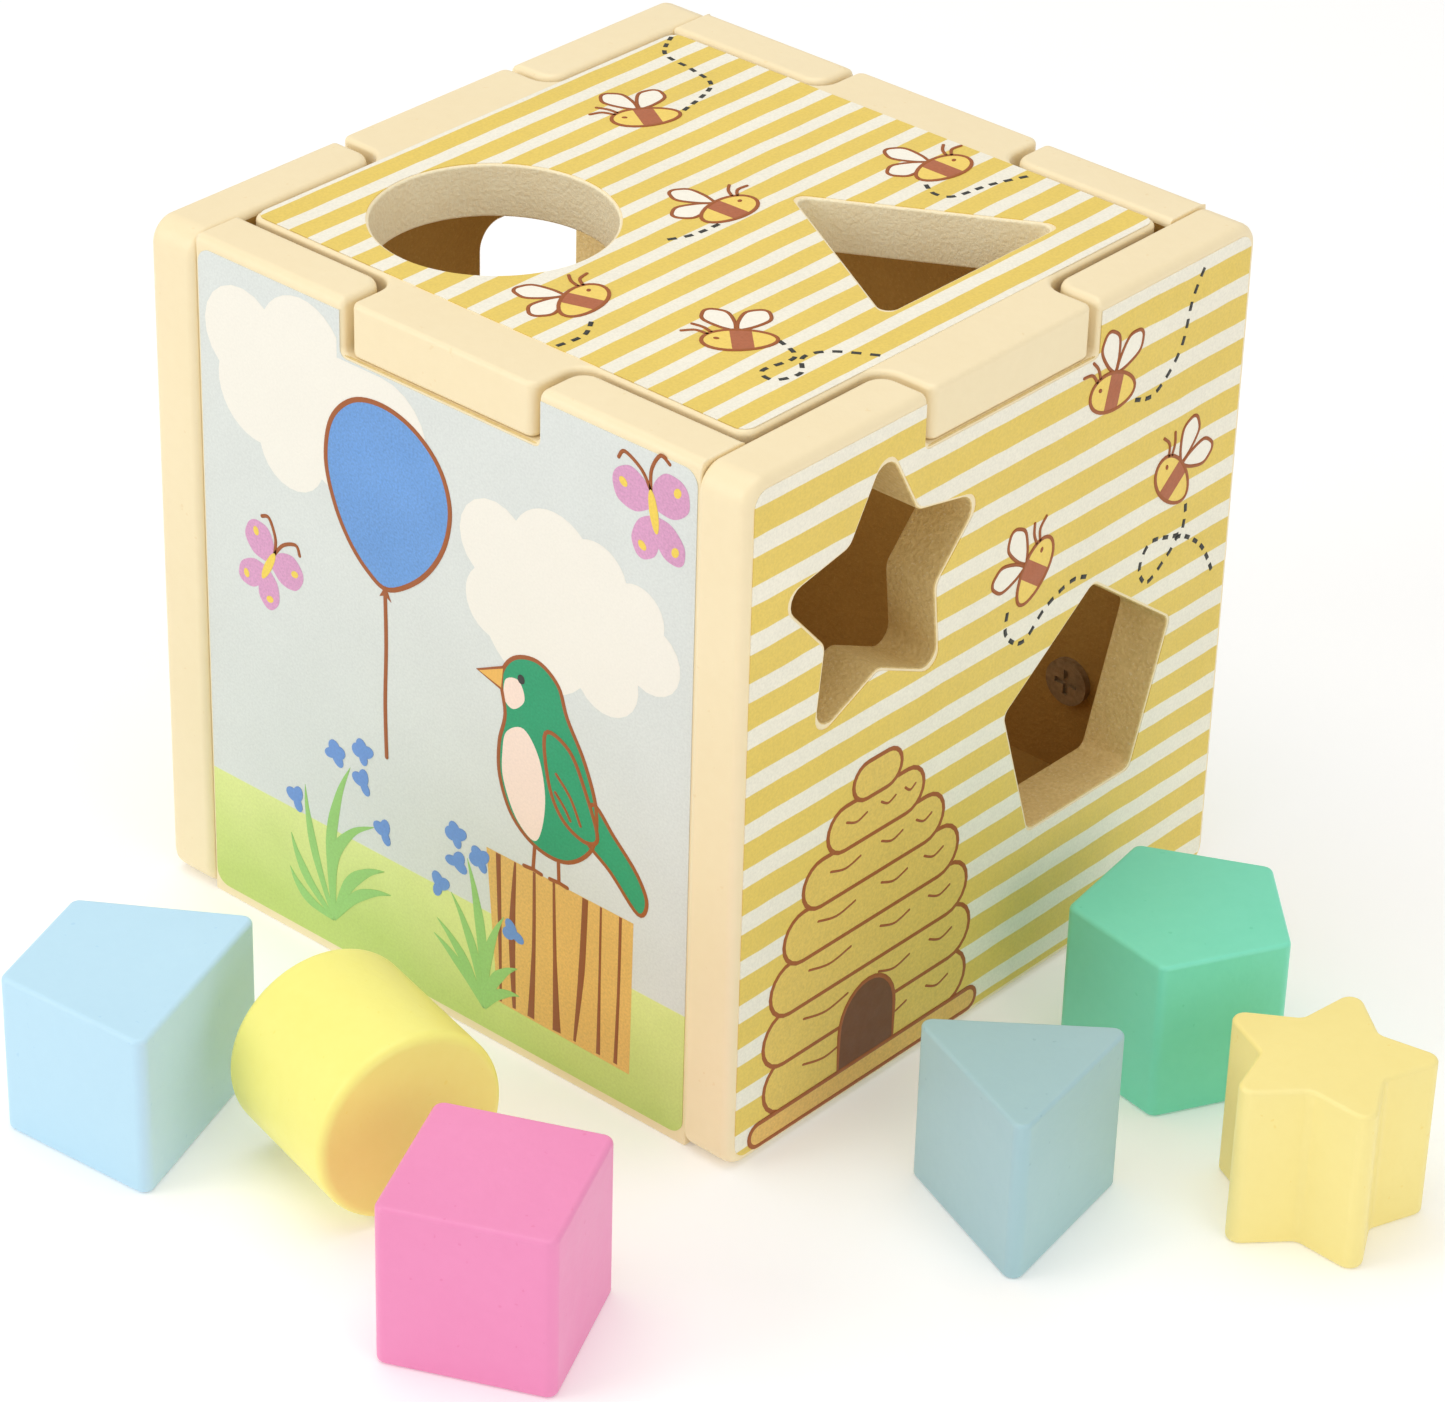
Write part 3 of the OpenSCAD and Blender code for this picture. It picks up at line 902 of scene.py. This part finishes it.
def drawBee(drawing, at, heading, side, swept, s=beeSet):
    half, girth = s["length"] / 2, s["girth"] / 2

    def girthAt(x):
        return girth * math.sqrt(max(1 - (x / half) ** 2, 0)) * (1 + 0.12 * x / half)

    def put(points):
        return placed(points, at, heading, 1.0, side)

    for k, (root, tip) in enumerate(s["wings"]):
        reach = Vector(tip) - Vector(root)
        if swept:
            reach = Matrix.Rotation(math.radians(s["sweep"]), 2) @ reach
        wing = put(petal(root, Vector(root) + reach, s["wingWidth"]))
        addOutlined(drawing, "wingInk", wing, 2 + 0.9 * k, s["line"], 2.4 + 0.9 * k)
    turns = [2 * math.pi * k / 32 for k in range(32)]
    body = [(half * math.cos(t), girth * math.sin(t) * (1 + 0.12 * math.cos(t))) for t in turns]
    addFill(drawing, "honeyInk", put(body), 4)
    low, high = s["band"]
    xs = [low + (high - low) * k / 5 for k in range(6)]
    band = [(x, girthAt(x)) for x in xs] + [(x, -girthAt(x)) for x in reversed(xs)]
    addFill(drawing, "bandInk", put(band), 5)
    addStroke(drawing, "outlineInk", put(body), s["line"], 6, closed=True)
    addFill(drawing, "outlineInk", put(oval(s["eye"], 1.1, 0.8, 20, 12)), 6)
    for feeler in s["feelers"]:
        addStroke(drawing, "outlineInk", smooth(put(feeler)), s["line"] * 0.85, 6)


def drawTrail(drawing, points, s=beeSet):
    path = smooth(points, steps=14)
    run, on, dash, left = 0.0, True, [path[0]], s["dash"]
    for a, b in zip(path, path[1:]):
        step = (b - a).length
        done = 0.0
        while step - done > left:
            done += left
            point = a.lerp(b, done / step)
            if on:
                addStroke(drawing, "dashInk", dash + [point], s["dashWidth"], 2, blunt=True)
            on = not on
            dash = [point]
            left = s["dash"] if on else s["gap"]
        left -= step - done
        if on and (b - dash[-1]).length > 0.2:
            dash.append(b)


swarmSet = {  # sheet: (bees: place, heading, side of the wings, swept), (trails)
    "lid": (
        [((-35.7, 23.2), -120, -1, False), ((0.7, 5), 92, 1, True), ((6.5, -39), 108, 1, True),
         ((35.3, -31.2), -134, -1, False), ((17, 44.7), 90, 1, True)],
        [[(-32.7, 30.2), (-36.3, 41.7), (-43.7, 44.7), (-52.2, 46.5), (-57, 54.1)],
         [(3.4, -0.6), (2.9, -7.1), (0.6, -12.4)],
         [(12.9, -43.7), (15.4, -48.3), (14.8, -54.3)],
         [(40.2, -26.7), (46, -29.3), (45.3, -36.8), (48.8, -38), (50.5, -33.1), (47, -28.3),
          (49.3, -23.3), (57.7, -17.8)],
         [(19.1, 37.3), (22.6, 35.5), (25.8, 37.2), (27.4, 45.5), (30.2, 53.5)]]),
    "right": (
        [((28, 117), 167, -1, False), ((48, 91.5), 130, -1, False), ((8.8, 89), 55, 1, False)],
        [[(34.9, 112.7), (40.8, 111.9), (47.4, 118.1), (50, 127.2), (53.9, 134)],
         [(52.8, 84.8), (52.8, 81.6), (51.2, 79.1), (43, 80.8), (40.1, 76.5), (42.8, 72.6),
          (48.7, 76.2), (51.8, 78.5), (58.7, 73.7), (63.1, 66.2)],
         [(1.8, 83.5), (1.6, 79.3), (4.6, 76.1), (7.8, 75.9), (12.8, 80), (20.2, 82.4), (26.4, 80.6)]]),
    "left": (
        [((24, 112), 160, -1, False), ((-42, 44), 60, 1, False), ((-6, 22), 120, 1, True)],
        [[(30.5, 108), (38, 108), (46, 113), (56, 109)],
         [(-45.5, 38), (-47, 31), (-43, 26), (-36, 28), (-30, 22)],
         [(-2, 17), (4, 13), (14, 15), (24, 12)]]),
}


def drawSwarms(swarms=swarmSet):
    for sheet, (bees, trails) in swarms.items():
        drawing = newDrawing()
        for at, heading, side, swept in bees:
            drawBee(drawing, at, heading, side, swept)
        hang(drawing, sheet, sheet + "Bees")
        drawing = newDrawing()
        for trail in trails:
            drawTrail(drawing, trail)
        hang(drawing, sheet, sheet + "BeeTrails")


# Straw beehive on the right board

hiveSet = {
    "middle": -32, "line": 0.85,
    # bottom of each straw roll, its height and half its width
    "rolls": ((6.5, 11.2, 27.5), (16.5, 11, 28), (26.5, 10.6, 26.5), (36, 10.2, 23.4), (45.2, 9.6, 18.8),
              (53.9, 9, 12.8), (62, 7.4, 6.4)),
    "plank": (2.2, 4.6, 31),
    "door": (6.2, 17, 7.5),
}


def pillow(middle, low, high, half):  # a bar with round ends
    r = high / 2
    turns = [math.pi * k / 10 for k in range(11)]
    ends = [(half - r + r * math.sin(t), low + r - r * math.cos(t)) for t in turns]
    return [(middle + x, z) for x, z in ends] + [(middle - x, z) for x, z in reversed(ends)]


def drawHive(s=hiveSet):
    drawing = newDrawing()
    middle = s["middle"]
    for k, (low, high, half) in enumerate(s["rolls"]):
        roll = pillow(middle, low, high, half)
        addOutlined(drawing, "strawInk", roll, 2 + k * 0.3, s["line"], 2.15 + k * 0.3)
        if high > 8:
            for side, reach in ((-0.62, 0.42), (0.1, 0.3), (0.6, 0.22)):
                at = middle + side * half
                curl = [(at, low + high * 0.62), (at + half * reach * 0.5, low + high * 0.5),
                        (at + half * reach, low + high * 0.58)]
                addStroke(drawing, "outlineInk", smooth(curl), s["line"] * 0.6, 2.25 + k * 0.3)
    low, high, half = s["door"]
    arch = [(middle - half, low), (middle + half, low), (middle + half, low + high * 0.5)]
    arch += [(middle + half * math.cos(t), low + high * (0.5 + 0.5 * math.sin(t)))
             for t in [math.pi * k / 14 for k in range(1, 14)]]
    arch.append((middle - half, low + high * 0.5))
    addOutlined(drawing, "doorInk", arch, 5.5, s["line"], 6)
    addOutlined(drawing, "fenceInk", pillow(middle, *s["plank"]), 6.5, s["line"], 7)
    hang(drawing, "right", "rightBeehive")


# Sky scene on the front and back boards

cloudSet = {  # corners with the bulge that follows each, clockwise
    "front": [
        [(-42, 127.8, 0.28), (-24.3, 128.6, 0), (-24.3, 124.9, 0), (-13.6, 124.9, 0.4), (-9, 104, 0.2),
         (-28.5, 99.5, 0.37), (-43.8, 100.9, 0.24), (-53.8, 113.5, 0.5)],
        [(8.5, 96.5, 0.52), (18.2, 109.5, 0.24), (33.5, 112, 0.22), (43.4, 107.5, 0.3), (52, 101, 0.5),
         (46.4, 89, 0.4), (33.4, 83, 0.25), (12, 84.5, 0.3)]],
    "back": [
        [(-46, 92, 0.4), (-38, 106, 0.3), (-22, 110, 0.3), (-9, 104, 0.4), (-6, 92, 0.35),
         (-18, 84, 0.25), (-34, 84, 0.3)],
        [(8, 74, 0.4), (15, 86, 0.3), (30, 88, 0.3), (42, 82, 0.4), (44, 72, 0.35),
         (32, 65, 0.25), (17, 66, 0.3)]],
}
balloonSet = {
    "outline": [(-27.4, 104), (-25.9, 112.4), (-20.6, 118), (-13.4, 119.6), (-6, 117.8), (0, 112.9),
                (2.6, 106), (1.6, 98.6), (-1.9, 92), (-7, 86.8), (-12.9, 83.6), (-17.6, 85.6),
                (-21.9, 89.8), (-25.4, 96)],
    "knot": [(-13.1, 84.2), (-14.6, 81.6), (-13.2, 82.2), (-11.7, 81.4)],
    "string": [(-13.2, 82.6), (-13.1, 72), (-13.5, 60), (-13.3, 48.9)],
    "line": 0.95,
}
butterflySet = {
    "line": 0.7,
    "wings": (((0.6, 0.2), (5.4, 7.6), 7.4, (4.2, 5.9)), ((-0.6, 0.2), (-8.4, 4.4), 5.6, (-6.4, 3.6))),
    "feelers": (((3.7, 0), (7, 1.4), (9.6, 4.6), (8.4, 6.2)),
                ((3.7, 0), (7.4, -0.8), (10.2, -3.2), (9, -5))),
    "body": (7.8, 1.9),
    # sheet: centre, heading, scale
    "front": (((-42.55, 76.45), 62, 0.93), ((49.2, 123.3), 101, 1.03)),
    "back": (((30, 112), 120, 1), ((-40, 60), 75, 0.95)),
}
tuftSet = {  # sheet: base, then each blade's tip, sideways bow and width
    "front": [
        ((-27.5, 7.7), [((-22.6, 42.7), 3.4, 2.6), ((-34.4, 34), 1.6, 2), ((-38.3, 21.9), 2, 2.2),
                        ((-38.8, 14.3), 2.4, 2.2), ((-16.6, 32.6), 6.4, 2.5),
                        ((-14.2, 24.1), 3.4, 2.6), ((-12.6, 19.7), 2.6, 2.2)]),
        ((10.8, 6.3), [((6.6, 36.5), -1.6, 2.4), ((2.6, 27.5), -1.8, 2.2), ((-1, 20.4), -1.6, 2.2),
                       ((-1.8, 16.8), -1.2, 2), ((15.6, 28.1), 2, 2.2), ((19, 18.6), 2.2, 2.4),
                       ((19.5, 12.9), 1.8, 2)])],
    "back": [
        ((20, 7), [((25, 38), 3.2, 2.6), ((12.6, 32), -1.6, 2.2), ((9, 20), -2, 2.2),
                   ((31, 24), 3.4, 2.4), ((33, 16), 2.4, 2.2)])],
}
flowerSet = {  # sheet: centre, turn, number of petals
    "front": [((-26.5, 44.1), 20, 3), ((-19.4, 47.2), 100, 3), ((-19.4, 40.8), 120, 2),
              ((-36.7, 29.8), 110, 2), ((-14.2, 32.5), 115, 2), ((3.8, 40), 105, 3),
              ((3.8, 34.5), 10, 2), ((9.7, 37.5), 120, 3), ((-0.4, 27.6), 70, 2), ((18, 25.7), 160, 2)],
    "back": [((24, 42), 20, 3), ((10.5, 35.5), 110, 2), ((32, 28.5), 100, 3)],
}
fenceSet = {
    "corners": [(14.1, 9.4), (46, 9), (46.4, 41), (11.3, 41)],
    # top, middle and bottom of each joint between planks, with its widths
    "joints": [((14.2, 14.6, 14.9), (1.2, 0.9, 0.5)), ((18.3, 17.6, 18.2), (0.5, 1.7, 0.8)),
               ((22.9, 22.9, 22.3), (0.7, 0.9, 1.7)), ((27.6, 28, 28.6), (0.6, 0.9, 2)),
               ((35.1, 34.4, 32.9), (1.4, 1.5, 0.6)), ((38.8, 38.7, 38.6), (0.5, 0.6, 1)),
               ((43.4, 43.2, 42.7), (0.7, 0.7, 0.9))],
}


def drawClouds(sheet):
    drawing = newDrawing()
    for k, corners in enumerate(cloudSet[sheet]):
        addFill(drawing, "cloudInk", lobes(corners), 1 + k * 0.2)
    hang(drawing, sheet, sheet + "Clouds")


def drawBalloon(s=balloonSet):
    drawing = newDrawing()
    addOutlined(drawing, "balloonInk", smooth(s["outline"], closed=True), 3, s["line"], 4)
    addStroke(drawing, "outlineInk", smooth(s["string"]), s["line"] * 0.9, 4)
    addFill(drawing, "outlineInk", s["knot"], 4.5)
    hang(drawing, "front", "frontBalloon")


def drawButterflies(sheet, s=butterflySet):
    drawing = newDrawing()
    for at, heading, scale in s[sheet]:
        for k, side in enumerate((1, -1)):
            for j, (root, tip, width, spot) in enumerate(s["wings"]):
                wing = placed(petal(root, tip, width, 0.85), at, heading, scale, side)
                addFill(drawing, "mauveInk", wing, 1.6 + 0.4 * k + 0.2 * j)
                dot = placed([spot], at, heading, scale, side)[0]
                spotShape = oval(dot, 2.0 * scale, 1.5 * scale, heading + 40 * side, 14)
                addFill(drawing, "butterYellowInk", spotShape, 3)
        for feeler in s["feelers"]:
            addStroke(drawing, "outlineInk", smooth(placed(feeler, at, heading, scale)), s["line"], 3)
        length, thick = s["body"]
        addFill(drawing, "butterYellowInk", oval(at, length * scale, thick * scale, heading), 4)
    hang(drawing, sheet, sheet + "Butterflies")


def drawTufts(sheet):
    drawing = newDrawing()
    for base, blades in tuftSet[sheet]:
        for k, (tip, bow, width) in enumerate(blades):
            root, end = Vector(base), Vector(tip)
            side = Vector((-(end - root).y, (end - root).x)).normalized()
            bent = [root.lerp(end, far) + side * bow * share for far, share in ((0.45, 0.8), (0.78, 0.6))]
            path = smooth([root, *bent, end])
            reach = [i / (len(path) - 1) for i in range(len(path))]
            widths = [width * min(0.35 + 1.9 * t, 1.0, 1.9 * (1 - t)) for t in reach]
            addStroke(drawing, "bladeInk", path, widths, 2 + k * 0.3, blunt=True)
    hang(drawing, sheet, sheet + "GrassTufts")


def drawFlowers(sheet):
    drawing = newDrawing()
    for at, turn, petals in flowerSet[sheet]:
        for k in range(petals):
            lean = turn + (k - (petals - 1) / 2) * 74
            leaf = oval(Vector(at) + pointing(lean) * 1.1, 3.8 - 0.3 * k, 2.5 + 0.2 * k, lean + 12 * k, 16)
            addFill(drawing, "petalInk", leaf, 4 + k * 0.3)
        cup = oval(Vector(at) + pointing(turn + 180) * 1.1, 3.1, 2.1, turn, 14)
        addFill(drawing, "petalInk", cup, 5)
    hang(drawing, sheet, sheet + "Flowers")


def drawFence(s=fenceSet):
    drawing = newDrawing()
    top, low = s["corners"][2][1], s["corners"][0][1]
    addFill(drawing, "fenceInk", s["corners"], 1.4)
    for xs, widths in s["joints"]:
        path = smooth([(xs[0], top - 0.1), (xs[1], (top + low) / 2), (xs[2], low + 0.3)])
        half = len(path) // 2
        first = [widths[0] + (widths[1] - widths[0]) * k / half for k in range(half)]
        rest = len(path) - half
        last = [widths[1] + (widths[2] - widths[1]) * k / (rest - 1) for k in range(rest)]
        addStroke(drawing, "plankInk", path, first + last, 1.8, blunt=True)
    hang(drawing, "front", "frontFence")


# A plain small bird perched on the fence

birdSet = {
    "body": [(14.8, 77.5), (17.8, 82.4), (23.4, 84), (28.2, 81.2), (30.4, 75.6), (34.6, 68.4), (37.4, 60),
             (36.6, 52), (31, 46.6), (24, 46.2), (17.8, 50), (14.6, 57), (14.4, 64), (15.8, 70.4)],
    "belly": [(16.2, 67), (20.2, 69.2), (23.8, 65), (25.4, 57.6), (24.6, 50.4), (22.6, 47.4), (18.4, 50.4),
              (15.4, 57), (15.2, 62.6)],
    "cheek": [(15.9, 77.4), (19, 78.4), (20.4, 75), (17.8, 72.2), (15.6, 73.4)],
    "tail": [(34.4, 54), (41, 49), (47.4, 43.4), (49.4, 46.6), (47, 51.4), (41.6, 56.6), (36.6, 61)],
    "wing": [(25.4, 70.6), (31, 69.4), (35, 62.4), (37.8, 54.6), (34.6, 52.6), (29.4, 55), (26.2, 61)],
    "beak": [(15.4, 79.6), (9.2, 76.6), (15, 75)],
    "eye": ((19.6, 78.9), 1.7, 1.9),
    "legs": [((23, 46.8), (22.6, 41.4)), ((28.6, 46.4), (28.8, 41.4))],
    "feathers": [((28, 63.4), (31.4, 60), (33.8, 55.4)), ((27.8, 59.6), (30, 57.4), (31.4, 55.4))],
    "line": 0.8,
}


def drawBird(s=birdSet):
    drawing = newDrawing()
    line = s["line"]
    for ends in s["legs"]:
        addStroke(drawing, "outlineInk", ends, line, 2)
        foot = [(ends[1][0] - 2.2, 41.2), ends[1], (ends[1][0] + 2.0, 41.2)]
        addStroke(drawing, "outlineInk", foot, line, 2.2)
    for part, ink, layer in (("tail", "birdInk", 2.4), ("body", "birdInk", 3), ("wing", "birdInk", 5)):
        addOutlined(drawing, ink, smooth(s[part], closed=True), layer, line, layer + 0.8)
    for part in ("belly", "cheek"):
        addFill(drawing, "bellyInk", smooth(s[part], closed=True), 3.4)
    addOutlined(drawing, "beakInk", s["beak"], 4, line * 0.8, 4.6)
    addFill(drawing, "dashInk", oval(*s["eye"], 0, 14), 4.4)
    for feather in s["feathers"]:
        addStroke(drawing, "outlineInk", smooth(feather), line * 0.8, 6.2)
    hang(drawing, "front", "frontBird")


# Pieces that keep their CAD shape

def coatNodes():
    finishes = {"base_panel": rawBoard, "back_wall_screw": screwSteel,
                "print_front": sceneryPrint, "print_back": sceneryPrint,
                "print_left": sideStripes, "print_right": sideStripes, "print_lid": lidStripes}
    finishes.update({node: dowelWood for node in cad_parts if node.startswith("dowels_")})
    for node, material in finishes.items():
        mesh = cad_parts[node].data
        mesh.materials.clear()
        mesh.materials.append(material)


makeCamera(cameraSet)
makeLights(lightSet)
makeFloor(floorSet)
print("camera, lights and floor set")
makeWalls()
print("wall boards rounded")
makeLid()
print("lid rounded")
makeBlocks()
print("blocks rounded")
coatNodes()
print("prints, base, screw and dowels coated")
drawSwarms()
drawHive()
for sheet in ("front", "back"):
    drawClouds(sheet)
    drawButterflies(sheet)
    drawTufts(sheet)
    drawFlowers(sheet)
drawBalloon()
drawFence()
drawBird()
print("pictures printed")
